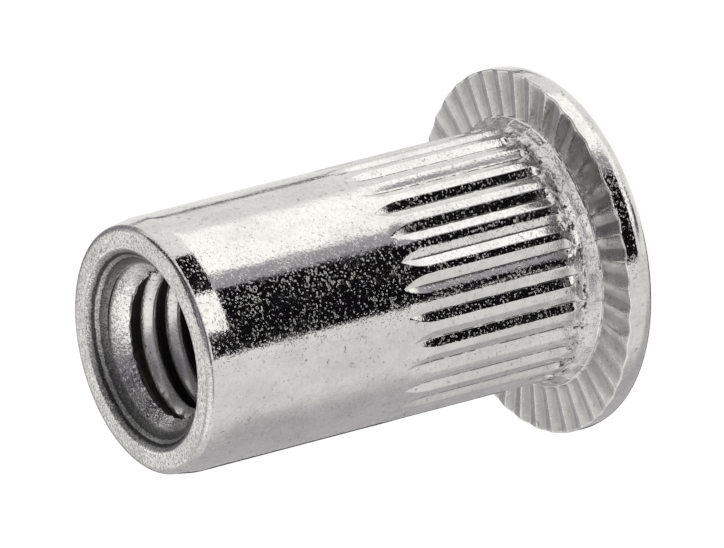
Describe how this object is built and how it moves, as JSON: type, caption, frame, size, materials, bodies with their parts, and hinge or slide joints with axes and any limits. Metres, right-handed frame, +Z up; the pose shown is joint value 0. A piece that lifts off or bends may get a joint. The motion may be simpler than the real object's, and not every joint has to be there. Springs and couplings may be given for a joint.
{
  "type": "rivet nut",
  "caption": "Open-end blind rivet nut: flat round head with a serrated seat, knurled tubular shank and a threaded nose.",
  "frame": {"origin": "centre of the head's outer face, on the nut's axis", "axes": "+Z up the axis from the head towards the open threaded nose; X and Y are free, as the nut is round"},
  "size_m": [0.013, 0.013, 0.0171],
  "materials": {
    "zinc_plated_steel": "bright zinc plate over rolled steel, with a fine grain, small pits and handling marks"
  },
  "bodies": {
    "root": {"rivet_nut": "zinc_plated_steel"}
  },
  "joints": []
}
